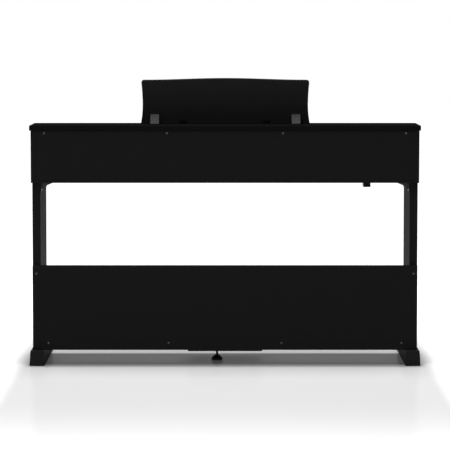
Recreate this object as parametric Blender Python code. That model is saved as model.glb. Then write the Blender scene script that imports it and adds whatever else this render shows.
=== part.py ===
"""Console digital piano with a folding music rest, a sliding key cover and three pedals.

Metres, +Z up. The origin is on the floor at the middle of the footprint. The player
sits on the -Y side, so bass keys are at -X, and the plain back of the case faces +Y.
"""
import math

import bmesh
import bpy
from mathutils import Matrix, Vector

# Overall case
TOP_WIDTH = 1.370
TOP_DEPTH = 0.245
TOP_THICK = 0.018
TOP_Z = 0.843
TOP_REAR_Y = 0.195
TOP_CORNER_R = 0.010
CASE_WIDTH = 1.360
CASE_REAR_Y = 0.192
CASE_FRONT_Y = -0.215
CASE_BOTTOM_Z = 0.642
BOARD_THICK = 0.012
KEYBED_THICK = 0.009
BED_TOP_Z = CASE_BOTTOM_Z + KEYBED_THICK
CHEEK_THICK = 0.018
CHEEK_NOSE_R = 0.012
CHEEK_NOSE_Z = CASE_BOTTOM_Z + 0.126
INNER_X = CASE_WIDTH / 2 - CHEEK_THICK
SLIP_TOP_Z = CASE_BOTTOM_Z + 0.086
SLIP_THICK = 0.015
STRIP_Z = (CASE_BOTTOM_Z + 0.1065, CASE_BOTTOM_Z + 0.131)
STRIP_THICK = 0.010
GAP = 0.0003
CUT = 0.01

# Speakers and sockets in the keybed
SPEAKER_AT = (0.45, 0.121)
SPEAKER_HOLE_R = 0.048
JACK_SLOT = ((-0.300, 0.130), (-0.220, 0.165))
JACK_SOCKETS_X = (-0.280, -0.240)
JACK_SOCKET_Y = 0.1475
JACK_SOCKET = 0.008
JACK_PLATE_THICK = 0.014
PHONES_X = (-0.5290, -0.5040)
PHONES_Y = (-0.200, -0.130)
PHONES_HEIGHT = 0.0355
PHONES_SOCKETS_DOWN = (0.0105, 0.0265)
PHONES_SOCKET_R = 0.0033
PHONES_SOCKET_DEPTH = 0.040

# Main circuit board: its two corners, and each tall component as (x, y, half size, height)
MAIN_BOARD = ((0.060, 0.080), (0.260, 0.160))
MAIN_BOARD_LIFT = 0.004
MAIN_BOARD_PARTS = [(0.10, 0.12, 0.014, 0.008), (0.16, 0.11, 0.020, 0.006), (0.22, 0.13, 0.012, 0.020)]

# Buttons and knob on the bass key block
BLOCK_TOP_Z = CASE_BOTTOM_Z + 0.097
CONTROL_X = -0.637
BUTTON_SIZE = (0.0136, 0.0086, 0.0058)
BUTTON_FIRST_Y = -0.180
BUTTON_PITCH = 0.022
BUTTON_RISE = 0.0020
BUTTON_PLAY = 0.0005
BUTTON_TRAVEL = 0.0022
BUTTON_NAMES = ["power_button", "function_button_1", "function_button_2", "function_button_3"]
KNOB_Y = -0.078

# Stand
STAND_WIDTH = 1.352
SIDE_THICK = 0.028
SIDE_FRONT_Y = -0.105
FOOT_HEIGHT = 0.0525
FOOT_LENGTH = 0.440
FOOT_INNER_X = 0.634
FOOT_OUTER_X = 0.687
FOOT_DRAFT = 0.003
PANEL_TOP_Z = 0.352
BRACKET_HEIGHT = 0.030
BRACKET_REACH = 0.041
BRACKET_WIDTH = 0.032
BRACKET_SHEET = 0.003

# Keyboard
WHITE_PITCH = 0.0235
WHITE_GAP = 0.001
WHITE_COUNT = 52
WHITE_FRONT_Y = -0.197
WHITE_HEAD_END_Y = -0.149
WHITE_TOP_Z = CASE_BOTTOM_Z + 0.091
WHITE_BOTTOM_Z = CASE_BOTTOM_Z + 0.070
BLACK_TOP_Z = CASE_BOTTOM_Z + 0.1025
BLACK_FRONT_Y = -0.146
BLACK_TOP_END_Y = -0.038
BLACK_WIDTH = 0.0095
BLACK_NOTCH = 0.0135
KEY_STEP_Y = 0.015
KEY_PIVOT_Y = 0.045
WHITE_BAR = (CASE_BOTTOM_Z + 0.067, CASE_BOTTOM_Z + 0.077)
BLACK_BAR = (CASE_BOTTOM_Z + 0.0795, CASE_BOTTOM_Z + 0.0895)
FRAME_SHEET = 0.0015
FRAME_RAILS = [
    (-0.190, -0.165, CASE_BOTTOM_Z + 0.053),
    (-0.110, -0.050, CASE_BOTTOM_Z + 0.051),
    (0.046, 0.062, CASE_BOTTOM_Z + 0.089),
]
RAIL_MARGIN = 0.001
BLACK_OFFSETS = {"c_sharp": -0.0029, "d_sharp": 0.0029, "f_sharp": -0.0034, "g_sharp": 0.0, "a_sharp": 0.0034}
BLACK_AFTER = {"c_sharp": 1, "d_sharp": 2, "f_sharp": 4, "g_sharp": 5, "a_sharp": 6}
WHITE_NAMES = ["c", "d", "e", "f", "g", "a", "b"]
FIRST_C = 2
MIDDLE_OCTAVE = 3

# Key cover, which slides on a slope
COVER_SLOPE = math.radians(8.0)
COVER_FRONT_Y = -0.055
COVER_REAR_Y = 0.130
COVER_BOTTOM_Z = CASE_BOTTOM_Z + 0.135
COVER_THICK = 0.005
COVER_HALF_WIDTH = 0.6675
LIP_THICK = 0.008
LIP_DROP = 0.014
GROOVE_DEPTH = 0.0065
GROOVE_Y = (-0.2005, 0.142)
GROOVE_PLAY = 0.001

# Music rest and its stays
REST_PIN = (0.024, TOP_Z + 0.0075)
REST_X = -0.0012
REST_LEAN = math.radians(18.0)
REST_LENGTH = 0.162
REST_ARCH = 0.0065
REST_ARCH_STEPS = 8
REST_CORNER_R = 0.009
REST_WAIST_X = 0.2935
REST_WAIST_Z = 0.072
REST_FOOT_FLARE = 0.0070
REST_HEAD_FLARE = 0.0035
REST_SIDE_STEPS = 8
LEDGE_HALF = 0.270
LEDGE_DEPTH = 0.018
LEDGE_Z = (0.004, 0.012)
REST_BACK = 0.004
REST_FRONT = -0.006
STAY_X = 0.251
STAY_WIDTH = 0.0306
STAY_THICK = 0.002
STAY_LENGTH = 0.0391
STAY_UP = 0.029
STAY_OFFSET = 0.0062
STAY_SLOPE = math.radians(55.0)
STAY_BARREL_R = 0.0018
HINGE_X = 0.150
HINGE_WIDTH = 0.029
KNUCKLE_R = 0.0032

# Pedals
PEDAL_BOX = ((-0.131, 0.0, 0.047), (0.131, 0.1795, 0.128))
PEDAL_PITCH = 0.072
PEDAL_WIDTH = 0.022
PEDAL_PIVOT_Y = 0.075
PEDAL_PIVOT_Z = 0.086
PEDAL_THICK = 0.009
PEDAL_LENGTH = 0.143
PEDAL_SLOT = (0.027, 0.052, 0.094)
PEDAL_WALL = 0.004
ADJUSTER_AT = (0.0285, 0.054)
ADJUSTER_BORE_R = 0.0043


def clear_scene():
    for thing in list(bpy.data.objects):
        bpy.data.objects.remove(thing)


def finish(name, colour, roughness, metallic=0.0):
    """A plain surface finish with one colour."""
    material = bpy.data.materials.new(name)
    material.use_nodes = True
    shader = material.node_tree.nodes["Principled BSDF"]
    shader.inputs["Base Color"].default_value = (*colour, 1.0)
    shader.inputs["Roughness"].default_value = roughness
    shader.inputs["Metallic"].default_value = metallic
    return material


def place(name, mesh, material, at=(0.0, 0.0, 0.0), turn=None):
    """Puts a mesh in the scene as one named piece."""
    mesh.materials.append(material)
    piece = bpy.data.objects.new(name, mesh)
    piece.location = at
    if turn is not None:
        piece.rotation_euler = turn
    bpy.context.scene.collection.objects.link(piece)
    return piece


def box_mesh(name, low, high):
    mesh = bpy.data.meshes.new(name)
    shape = bmesh.new()
    bmesh.ops.create_cube(shape, size=1.0)
    size = Vector(high) - Vector(low)
    middle = (Vector(high) + Vector(low)) / 2
    matrix = Matrix.Translation(middle) @ Matrix.Diagonal((*size, 1.0))
    bmesh.ops.transform(shape, matrix=matrix, verts=shape.verts)
    shape.to_mesh(mesh)
    shape.free()
    return mesh


def prism_mesh(name, outline, start, end, axis="Z"):
    """Extrudes a flat outline along one axis: (x, y) for Z, (y, z) for X and (x, z) for Y."""
    layouts = {
        "X": lambda a, b, c: (c, a, b),
        "Y": lambda a, b, c: (a, c, b),
        "Z": lambda a, b, c: (a, b, c),
    }
    layout = layouts[axis]
    mesh = bpy.data.meshes.new(name)
    shape = bmesh.new()
    ring = [shape.verts.new(layout(a, b, start)) for a, b in outline]
    face = shape.faces.new(ring)
    moved = bmesh.ops.extrude_face_region(shape, geom=[face])["geom"]
    shift = Vector(layout(0.0, 0.0, end - start))
    bmesh.ops.translate(shape, verts=[v for v in moved if isinstance(v, bmesh.types.BMVert)], vec=shift)
    bmesh.ops.recalc_face_normals(shape, faces=shape.faces)
    shape.to_mesh(mesh)
    shape.free()
    return mesh


def turned_mesh(name, profile, sides):
    """A solid turned about its own Z: profile is (radius, height) from bottom to top."""
    mesh = bpy.data.meshes.new(name)
    shape = bmesh.new()
    rings = []
    for radius, height in profile:
        angles = [2 * math.pi * k / sides for k in range(sides)]
        rings.append([shape.verts.new((radius * math.cos(a), radius * math.sin(a), height)) for a in angles])
    for lower, upper in zip(rings, rings[1:]):
        for k in range(sides):
            shape.faces.new((lower[k], lower[(k + 1) % sides], upper[(k + 1) % sides], upper[k]))
    shape.faces.new(list(reversed(rings[0])))
    shape.faces.new(rings[-1])
    shape.to_mesh(mesh)
    shape.free()
    return mesh


def arc(cx, cy, radius, start, end, steps):
    """Points of a round stretch, angles in degrees."""
    angles = [math.radians(start + (end - start) * k / steps) for k in range(steps + 1)]
    return [(cx + radius * math.cos(a), cy + radius * math.sin(a)) for a in angles]


def bent_sheet(bends, thick):
    """Outline of a sheet bent at right angles: the outer line, then back along the inner side of each bend."""
    back = []
    for index, (y, z) in enumerate(bends):
        before = bends[index - 1] if index > 0 else None
        after = bends[index + 1] if index + 1 < len(bends) else None
        shift_y, shift_z = 0.0, 0.0
        for start, end in ((before, (y, z)), ((y, z), after)):
            if start is None or end is None:
                continue
            along_y, along_z = end[0] - start[0], end[1] - start[1]
            length = math.hypot(along_y, along_z)
            shift_y += along_z / length * thick
            shift_z -= along_y / length * thick
        back.append((y + shift_y, z + shift_z))
    return list(bends) + back[::-1]


def soften(piece, width, segments=2):
    """Rounds the edges of a board."""
    bevel = piece.modifiers.new("edges", "BEVEL")
    bevel.width = width
    bevel.segments = segments
    bevel.limit_method = "ANGLE"


def combine(piece, other_mesh, operation):
    """Cuts or joins another shape, which stays as a hidden guide."""
    guide = bpy.data.objects.new(piece.name + "_guide", other_mesh)
    guide.matrix_world = piece.matrix_world
    guide.location = piece.location
    guide.rotation_euler = piece.rotation_euler
    guide.hide_render = True
    guide.display_type = "WIRE"
    bpy.context.scene.collection.objects.link(guide)
    step = piece.modifiers.new("shape", "BOOLEAN")
    step.operation = operation
    step.solver = "EXACT"
    step.object = guide


def mirrored(low, high, side):
    """The same box on the left (-1) or the right (+1)."""
    if side > 0:
        return low, high
    return (-high[0], low[1], low[2]), (-low[0], high[1], high[2])


def side_name(side):
    return "right" if side > 0 else "left"


def make_case(finishes):
    black = finishes["case"]
    half = TOP_WIDTH / 2
    front = TOP_REAR_Y - TOP_DEPTH
    radius = TOP_CORNER_R
    outline = [(half, TOP_REAR_Y), (-half, TOP_REAR_Y)]
    outline += arc(-half + radius, front + radius, radius, 180, 270, 4)
    outline += arc(half - radius, front + radius, radius, 270, 360, 4)
    top = place("top_board", prism_mesh("top_board", outline, TOP_Z - TOP_THICK, TOP_Z), black)
    soften(top, 0.0012, 1)

    case_half = CASE_WIDTH / 2
    under_top = TOP_Z - TOP_THICK - GAP
    rear_front = CASE_REAR_Y - BOARD_THICK
    low = (-case_half, rear_front, BED_TOP_Z + GAP)
    rear = place("rear_panel", box_mesh("rear_panel", low, (case_half, CASE_REAR_Y, under_top)), black)
    soften(rear, 0.0008, 1)

    low = (-case_half, CASE_FRONT_Y, CASE_BOTTOM_Z)
    bed = place("keybed", box_mesh("keybed", low, (case_half, CASE_REAR_Y, BED_TOP_Z)), black)
    soften(bed, 0.0008, 1)
    for side in (-1, 1):
        profile = [(SPEAKER_HOLE_R, CASE_BOTTOM_Z - CUT), (SPEAKER_HOLE_R, BED_TOP_Z + CUT)]
        hole = turned_mesh("speaker_hole", profile, 20)
        hole.transform(Matrix.Translation((side * SPEAKER_AT[0], SPEAKER_AT[1], 0.0)))
        combine(bed, hole, "DIFFERENCE")
    slot = box_mesh("jack_cut", (*JACK_SLOT[0], CASE_BOTTOM_Z - CUT), (*JACK_SLOT[1], BED_TOP_Z + CUT))
    combine(bed, slot, "DIFFERENCE")

    groove_low = COVER_BOTTOM_Z - GROOVE_PLAY
    groove_high = COVER_BOTTOM_Z + COVER_THICK + GROOVE_PLAY
    rise = math.tan(COVER_SLOPE)
    for side in (-1, 1):
        nose = CASE_FRONT_Y + CHEEK_NOSE_R
        outline = [(rear_front - GAP, BED_TOP_Z + GAP), (rear_front - GAP, under_top)]
        outline += [(front - 0.004, under_top), (front - 0.020, under_top - 0.025)]
        outline += [(nose + 0.018, CHEEK_NOSE_Z + CHEEK_NOSE_R)]
        outline += arc(nose, CHEEK_NOSE_Z, CHEEK_NOSE_R, 90, 180, 4)
        outline += [(CASE_FRONT_Y, BED_TOP_Z + GAP)]
        start, end = (INNER_X, case_half) if side > 0 else (-case_half, -INNER_X)
        name = "cheek_" + side_name(side)
        cheek = place(name, prism_mesh(name, outline, start, end, "X"), black)
        y_a, y_b = GROOVE_Y
        groove = [
            (y_a, groove_low + rise * (y_a - COVER_FRONT_Y)),
            (y_b, groove_low + rise * (y_b - COVER_FRONT_Y)),
            (y_b, groove_high + rise * (y_b - COVER_FRONT_Y)),
            (y_a, groove_high + rise * (y_a - COVER_FRONT_Y)),
        ]
        a, b = INNER_X - CUT, INNER_X + GROOVE_DEPTH
        start, end = (a, b) if side > 0 else (-b, -a)
        combine(cheek, prism_mesh("groove", groove, start, end, "X"), "DIFFERENCE")

    low = (-INNER_X + GAP, CASE_FRONT_Y, BED_TOP_Z + GAP)
    high = (INNER_X - GAP, CASE_FRONT_Y + SLIP_THICK, SLIP_TOP_Z)
    slip = place("key_slip", box_mesh("key_slip", low, high), black)
    soften(slip, 0.002)
    low, high = (-INNER_X + GAP, front, STRIP_Z[0]), (INNER_X - GAP, front + STRIP_THICK, STRIP_Z[1])
    strip = place("fall_strip", box_mesh("fall_strip", low, high), black)
    soften(strip, 0.0006, 1)


def make_key_blocks(finishes):
    keys_half = WHITE_COUNT * WHITE_PITCH / 2
    rear = TOP_REAR_Y - TOP_DEPTH - 0.0005
    for side in (-1, 1):
        low, high = (keys_half + 0.0015, WHITE_FRONT_Y, BED_TOP_Z + GAP), (INNER_X - GAP, rear, BLOCK_TOP_Z)
        name = "key_block_" + side_name(side)
        block = place(name, box_mesh(name, *mirrored(low, high, side)), finishes["case"])
        if side < 0:
            for row, button_name in enumerate(BUTTON_NAMES):
                make_button(button_name, block, BUTTON_FIRST_Y + BUTTON_PITCH * row, finishes)
    profile = [(0.0085, 0.0), (0.0085, 0.0018), (0.0078, 0.0022), (0.0074, 0.0078), (0.0066, 0.0086)]
    mesh = turned_mesh("volume_knob", profile, 24)
    place("volume_knob", mesh, finishes["control"], (CONTROL_X, KNOB_Y, BLOCK_TOP_Z + GAP))


def make_button(name, block, y, finishes):
    """A push button and the pocket in the key block that it sinks into."""
    half = Vector(BUTTON_SIZE) / 2
    middle = Vector((CONTROL_X, y, BLOCK_TOP_Z + BUTTON_RISE - half.z))
    play = Vector((BUTTON_PLAY, BUTTON_PLAY, BUTTON_TRAVEL))
    low = middle - half - play
    high = middle + half + Vector((BUTTON_PLAY, BUTTON_PLAY, CUT))
    combine(block, box_mesh("pocket", low, high), "DIFFERENCE")
    button = place(name, box_mesh(name, -half, half), finishes["control"], middle)
    soften(button, 0.0008)


def make_cover(finishes):
    rise = math.tan(COVER_SLOPE)
    length = COVER_REAR_Y - COVER_FRONT_Y
    outline = [(0.0, 0.0), (length, rise * length), (length, rise * length + COVER_THICK), (0.0, COVER_THICK)]
    mesh = prism_mesh("key_cover", outline, -COVER_HALF_WIDTH, COVER_HALF_WIDTH, "X")
    cover = place("key_cover", mesh, finishes["case"], (0.0, COVER_FRONT_Y, COVER_BOTTOM_Z))
    back, front, under = 0.0004, -LIP_THICK, -LIP_DROP
    lip = [(front, under), (back, under), (back, COVER_THICK + 0.0045), (front, COVER_THICK + 0.0030)]
    half = INNER_X - 0.0015
    combine(cover, prism_mesh("cover_lip", lip, -half, half, "X"), "UNION")


def rest_outline():
    """Half of the rest's outline: a drawn-in side, a round corner and a gently arched top."""
    bottom, top = REST_FRONT, REST_LENGTH - REST_ARCH - REST_CORNER_R
    points = []
    for k in range(REST_SIDE_STEPS + 1):
        z = bottom + (top - bottom) * k / REST_SIDE_STEPS
        flare = REST_FOOT_FLARE if z < REST_WAIST_Z else REST_HEAD_FLARE
        reach = (REST_WAIST_Z - bottom) if z < REST_WAIST_Z else (top - REST_WAIST_Z)
        points.append((REST_WAIST_X + flare * ((z - REST_WAIST_Z) / reach) ** 2, z))
    corner_x = REST_WAIST_X + REST_HEAD_FLARE - REST_CORNER_R
    points += arc(corner_x, top, REST_CORNER_R, 0, 90, 5)[1:]
    for k in range(1, REST_ARCH_STEPS):
        x = corner_x * (1 - k / REST_ARCH_STEPS)
        points.append((x, REST_LENGTH - REST_ARCH / 2 * (1 - math.cos(math.pi * x / corner_x))))
    return points


def make_music_rest(finishes):
    right = rest_outline()
    outline = right + [(0.0, REST_LENGTH)] + [(-x, z) for x, z in reversed(right)]
    turn = (-REST_LEAN, 0.0, 0.0)
    pin = (REST_X, *REST_PIN)
    mesh = prism_mesh("music_rest", outline, REST_FRONT, REST_BACK, "Y")
    rest = place("music_rest", mesh, finishes["case"], pin, turn)
    low = (-LEDGE_HALF, REST_FRONT - LEDGE_DEPTH, LEDGE_Z[0])
    high = (LEDGE_HALF, REST_FRONT + 0.001, LEDGE_Z[1])
    ledge = box_mesh("ledge", low, high)
    combine(rest, ledge, "UNION")
    for side in (-1, 1):
        middle, half = side * HINGE_X, HINGE_WIDTH / 2 + 0.0005
        notch = box_mesh("notch", (middle - half, -0.05, -0.02), (middle + half, 0.02, 0.0045))
        combine(rest, notch, "DIFFERENCE")
        make_rest_hinge(side, finishes)
        make_stay(side, Vector(pin), finishes)


def make_rest_hinge(side, finishes):
    """A plate screwed on the top board with the fixed knuckle of the rest's hinge."""
    name = "rest_hinge_" + side_name(side)
    x, (y, z), half = REST_X + side * HINGE_X, REST_PIN, HINGE_WIDTH / 2
    plate = box_mesh(name, (x - half, y - 0.020, TOP_Z + GAP), (x + half, y, TOP_Z + 0.0022))
    hinge = place(name, plate, finishes["metal"])
    web = box_mesh("web", (x - half, y - 0.0030, TOP_Z + 0.001), (x + half, y - 0.0008, z))
    combine(hinge, web, "UNION")
    knuckle = turned_mesh("knuckle", [(KNUCKLE_R, -half), (KNUCKLE_R, half)], 12)
    knuckle.transform(Matrix.Translation((x, y, z)) @ Matrix.Rotation(math.pi / 2, 4, "Y"))
    combine(hinge, knuckle, "UNION")


def make_stay(side, pin, finishes):
    """A flap hinged on the back of the rest, which props it up on the top board."""
    name = "rest_stay_" + side_name(side)
    half, thin = STAY_WIDTH / 2, STAY_THICK / 2
    at = pin + Matrix.Rotation(-REST_LEAN, 3, "X") @ Vector((0.0, STAY_OFFSET, STAY_UP))
    at.x += side * STAY_X
    mesh = box_mesh(name, (-half, -thin, -STAY_LENGTH), (half, thin, 0.0))
    stay = place(name, mesh, finishes["stay"], at, (math.pi / 2 - STAY_SLOPE, 0.0, 0.0))
    barrel = turned_mesh("barrel", [(STAY_BARREL_R, -half + 0.0002), (STAY_BARREL_R, half - 0.0002)], 10)
    barrel.transform(Matrix.Rotation(math.pi / 2, 4, "Y"))
    combine(stay, barrel, "UNION")


def white_left(index):
    """Left edge of a white key, counted from the lowest."""
    return -WHITE_COUNT * WHITE_PITCH / 2 + index * WHITE_PITCH


def black_keys():
    """Every black key as (octave, name, centre x), octave 0 being the part octave below the first C."""
    found = [(0, "a_sharp", white_left(1) + BLACK_OFFSETS["a_sharp"])]
    for octave in range(1, 8):
        for name, whites in BLACK_AFTER.items():
            centre = white_left(FIRST_C + 7 * (octave - 1) + whites) + BLACK_OFFSETS[name]
            found.append((octave, name, centre))
    return found


def white_outline(index, centres):
    """Plan of one white key: a full-width head and a tail drawn in beside the black keys."""
    left, right = white_left(index) + WHITE_GAP / 2, white_left(index + 1) - WHITE_GAP / 2
    tail_left, tail_right = left, right
    for centre in centres:
        if abs(centre - white_left(index)) < 0.006:
            tail_left = centre + BLACK_NOTCH / 2
        if abs(centre - white_left(index + 1)) < 0.006:
            tail_right = centre - BLACK_NOTCH / 2
    points = [(left, WHITE_FRONT_Y), (right, WHITE_FRONT_Y)]
    if tail_right < right:
        points += [(right, WHITE_HEAD_END_Y), (tail_right, WHITE_HEAD_END_Y)]
    points.append((tail_right, KEY_STEP_Y))
    points.append((tail_left, KEY_STEP_Y))
    if tail_left > left:
        points += [(tail_left, WHITE_HEAD_END_Y), (left, WHITE_HEAD_END_Y)]
    return points, tail_left, tail_right


def join_all(name, meshes, material, pivot):
    """One piece from several overlapping shapes, with its origin on the key pivot."""
    for mesh in meshes:
        mesh.transform(Matrix.Translation(-pivot))
    piece = place(name, meshes[0], material, pivot)
    for mesh in meshes[1:]:
        combine(piece, mesh, "UNION")
    return piece


def joined_mesh(name, meshes):
    """Several separate shapes held in one mesh, for a union with a bar that crosses them all."""
    shape = bmesh.new()
    for mesh in meshes:
        shape.from_mesh(mesh)
    result = bpy.data.meshes.new(name)
    shape.to_mesh(result)
    shape.free()
    return result


def make_white_group(name, indexes, finishes):
    centres = [centre for _, _, centre in black_keys()]
    fingers, lefts, rights = [], [], []
    for index in indexes:
        outline, left, right = white_outline(index, centres)
        fingers.append(prism_mesh("finger", outline, WHITE_BOTTOM_Z, WHITE_TOP_Z))
        lefts.append(left)
        rights.append(right)
    low, high = (min(lefts), KEY_STEP_Y - 0.008, WHITE_BAR[0]), (max(rights), KEY_PIVOT_Y, WHITE_BAR[1])
    bar = box_mesh(name, low, high)
    pivot = Vector((white_left(indexes[0]), KEY_PIVOT_Y, sum(WHITE_BAR) / 2))
    join_all(name, [bar, joined_mesh("fingers", fingers)], finishes["white_key"], pivot)


def make_black_group(name, centres, finishes):
    fingers = []
    for centre in centres:
        half = BLACK_WIDTH / 2
        under = WHITE_BOTTOM_Z + 0.003
        profile = [
            (KEY_STEP_Y + 0.004, BLACK_BAR[0]),
            (KEY_STEP_Y + 0.004, BLACK_BAR[1]),
            (BLACK_TOP_END_Y, BLACK_TOP_Z),
            (BLACK_FRONT_Y + 0.006, BLACK_TOP_Z),
            (BLACK_FRONT_Y, WHITE_TOP_Z),
            (BLACK_FRONT_Y, under),
            (KEY_STEP_Y - 0.019, under),
            (KEY_STEP_Y - 0.012, BLACK_BAR[0]),
        ]
        fingers.append(prism_mesh("finger", profile, centre - half, centre + half, "X"))
    ends = (min(centres) - BLACK_WIDTH / 2, max(centres) + BLACK_WIDTH / 2)
    bar = box_mesh(name, (ends[0], KEY_STEP_Y + 0.001, BLACK_BAR[0]), (ends[1], KEY_PIVOT_Y, BLACK_BAR[1]))
    pivot = Vector((min(centres), KEY_PIVOT_Y, sum(BLACK_BAR) / 2))
    join_all(name, [bar, joined_mesh("fingers", fingers)], finishes["black_key"], pivot)


def make_keys(finishes):
    first = FIRST_C + 7 * MIDDLE_OCTAVE
    make_white_group("white_keys_bass", list(range(first)), finishes)
    for step, note in enumerate(WHITE_NAMES):
        make_white_group("key_" + note, [first + step], finishes)
    make_white_group("white_keys_treble", list(range(first + 7, WHITE_COUNT)), finishes)
    blacks = black_keys()
    middle = MIDDLE_OCTAVE + 1
    make_black_group("black_keys_bass", [x for octave, _, x in blacks if octave < middle], finishes)
    for octave, note, centre in blacks:
        if octave == middle:
            make_black_group("key_" + note, [centre], finishes)
    make_black_group("black_keys_treble", [x for octave, _, x in blacks if octave > middle], finishes)


def make_inside(finishes):
    half = WHITE_COUNT * WHITE_PITCH / 2
    base = BED_TOP_Z + GAP
    bends = []
    for front, rear, top in FRAME_RAILS:
        bends += [(front, base + FRAME_SHEET), (front, top), (rear, top), (rear, base + FRAME_SHEET)]
    bends[0] = (bends[0][0], base)
    bends[-1] = (bends[-1][0], base)
    outline = bent_sheet(bends, FRAME_SHEET)
    place("key_frame", prism_mesh("key_frame", outline, -half, half, "X"), finishes["plate"])
    felt_rail, contact_rail = FRAME_RAILS[:2]
    on_rails = (("key_felt", felt_rail, 0.0055, "felt"), ("contact_board", contact_rail, 0.002, "circuit"))
    for name, (front, rear, top), thick, finish_name in on_rails:
        low, high = (-half, front + RAIL_MARGIN, top + GAP), (half, rear - RAIL_MARGIN, top + thick)
        place(name, box_mesh(name, low, high), finishes[finish_name])

    (left, front), (right, rear) = MAIN_BOARD
    face = BED_TOP_Z + MAIN_BOARD_LIFT
    mesh = box_mesh("main_board", (left, front, BED_TOP_Z + GAP), (right, rear, face))
    board = place("main_board", mesh, finishes["circuit"])
    for x, y, half_size, height in MAIN_BOARD_PARTS:
        low, high = (x - half_size, y - half_size, face - 0.001), (x + half_size, y + half_size, face + height)
        combine(board, box_mesh("chip", low, high), "UNION")

    profile = [(0.056, 0.0), (0.056, 0.003), (0.049, 0.004), (0.026, 0.030), (0.026, 0.036)]
    profile += [(0.034, 0.037), (0.034, 0.050), (0.031, 0.053)]
    for side in (-1, 1):
        name = "speaker_" + side_name(side)
        at = (side * SPEAKER_AT[0], SPEAKER_AT[1], BED_TOP_Z + GAP)
        place(name, turned_mesh(name, profile, 20), finishes["speaker"], at)


def make_jacks(finishes):
    (left, front), (right, rear) = JACK_SLOT
    base = CASE_BOTTOM_Z + 0.001
    low, high = (left + GAP, front + GAP, base), (right - GAP, rear - GAP, base + JACK_PLATE_THICK)
    plate = place("jack_plate", box_mesh("jack_plate", low, high), finishes["control"])
    half = JACK_SOCKET / 2
    for x in JACK_SOCKETS_X:
        low = (x - half, JACK_SOCKET_Y - half, CASE_BOTTOM_Z - CUT)
        high = (x + half, JACK_SOCKET_Y + half, CASE_BOTTOM_Z + 0.011)
        combine(plate, box_mesh("socket", low, high), "DIFFERENCE")

    low = (PHONES_X[0], PHONES_Y[0], CASE_BOTTOM_Z - PHONES_HEIGHT)
    high = (PHONES_X[1], PHONES_Y[1], CASE_BOTTOM_Z - GAP)
    body = place("headphone_box", box_mesh("headphone_box", low, high), finishes["control"])
    for down in PHONES_SOCKETS_DOWN:
        end = (sum(PHONES_X) / 2, PHONES_Y[0] + PHONES_SOCKET_DEPTH, CASE_BOTTOM_Z - down)
        hole = turned_mesh("socket", [(PHONES_SOCKET_R, 0.0), (PHONES_SOCKET_R, PHONES_SOCKET_DEPTH + CUT)], 12)
        hole.transform(Matrix.Translation(end) @ Matrix.Rotation(math.pi / 2, 4, "X"))
        combine(body, hole, "DIFFERENCE")


def make_stand(finishes):
    outer = STAND_WIDTH / 2
    inner = outer - SIDE_THICK
    rear = CASE_REAR_Y - BOARD_THICK
    low = (-outer, rear, FOOT_HEIGHT + GAP)
    mesh = box_mesh("lower_panel", low, (outer, CASE_REAR_Y, PANEL_TOP_Z))
    panel = place("lower_panel", mesh, finishes["case"])
    soften(panel, 0.0008, 1)
    for side in (-1, 1):
        name = "side_board_" + side_name(side)
        low, high = (inner, SIDE_FRONT_Y, FOOT_HEIGHT + GAP), (outer, rear - GAP, CASE_BOTTOM_Z - GAP)
        board = place(name, box_mesh(name, *mirrored(low, high, side)), finishes["case"])
        soften(board, 0.0010, 1)
        make_foot(side, finishes)
        for place_name, y in (("rear", 0.130), ("front", SIDE_FRONT_Y + 0.006)):
            make_bracket("bracket_" + place_name + "_" + side_name(side), side, y, finishes)


def make_foot(side, finishes):
    name = "foot_" + side_name(side)
    half = FOOT_LENGTH / 2
    rows = ((0.0, 0.0), (FOOT_HEIGHT, 1.0))
    mesh = bpy.data.meshes.new(name)
    shape = bmesh.new()
    corners = []
    for z, up in rows:
        a = FOOT_INNER_X + FOOT_DRAFT * up
        b = FOOT_OUTER_X - FOOT_DRAFT * up
        y = half - 0.002 * up
        corners.append([shape.verts.new((side * px, py, z)) for px, py in ((a, -y), (b, -y), (b, y), (a, y))])
    shape.faces.new(corners[0])
    shape.faces.new(corners[1])
    for k in range(4):
        shape.faces.new((corners[0][k], corners[0][(k + 1) % 4], corners[1][(k + 1) % 4], corners[1][k]))
    bmesh.ops.recalc_face_normals(shape, faces=shape.faces)
    upright = [e for e in shape.edges if abs(e.verts[0].co.z - e.verts[1].co.z) > 0.01]
    bmesh.ops.bevel(shape, geom=upright, offset=0.008, segments=4, profile=0.5, affect="EDGES")
    rim = [e for e in shape.edges if min(e.verts[0].co.z, e.verts[1].co.z) > FOOT_HEIGHT - 0.001]
    bmesh.ops.bevel(shape, geom=rim, offset=0.003, segments=2, profile=0.5, affect="EDGES")
    shape.to_mesh(mesh)
    shape.free()
    place(name, mesh, finishes["foot"])


def make_bracket(name, side, y, finishes):
    """A corner bracket: one leaf on the side board, one under the keybed, a web between them."""
    x = STAND_WIDTH / 2 - SIDE_THICK - GAP
    top = CASE_BOTTOM_Z - GAP
    reach, height, sheet = BRACKET_REACH, BRACKET_HEIGHT, BRACKET_SHEET
    leaf = [(x, top), (x - reach, top), (x - reach, top - sheet), (x - sheet, top - sheet)]
    leaf += [(x - sheet, top - height), (x, top - height)]
    web = [(x - 0.001, top - 0.001), (x - reach + 0.004, top - 0.001), (x - reach + 0.004, top - sheet - 0.001)]
    web += [(x - 0.021, top - 0.011), (x - 0.010, top - 0.0175), (x - sheet - 0.003, top - height + 0.006)]
    web += [(x - 0.001, top - height + 0.006)]
    leaf, web = ([(side * px, pz) for px, pz in points] for points in (leaf, web))
    bracket = place(name, prism_mesh(name, leaf, y, y + BRACKET_WIDTH, "Y"), finishes["metal"])
    middle = y + BRACKET_WIDTH / 2
    combine(bracket, prism_mesh("web", web, middle - 0.002, middle + 0.002, "Y"), "UNION")


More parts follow.
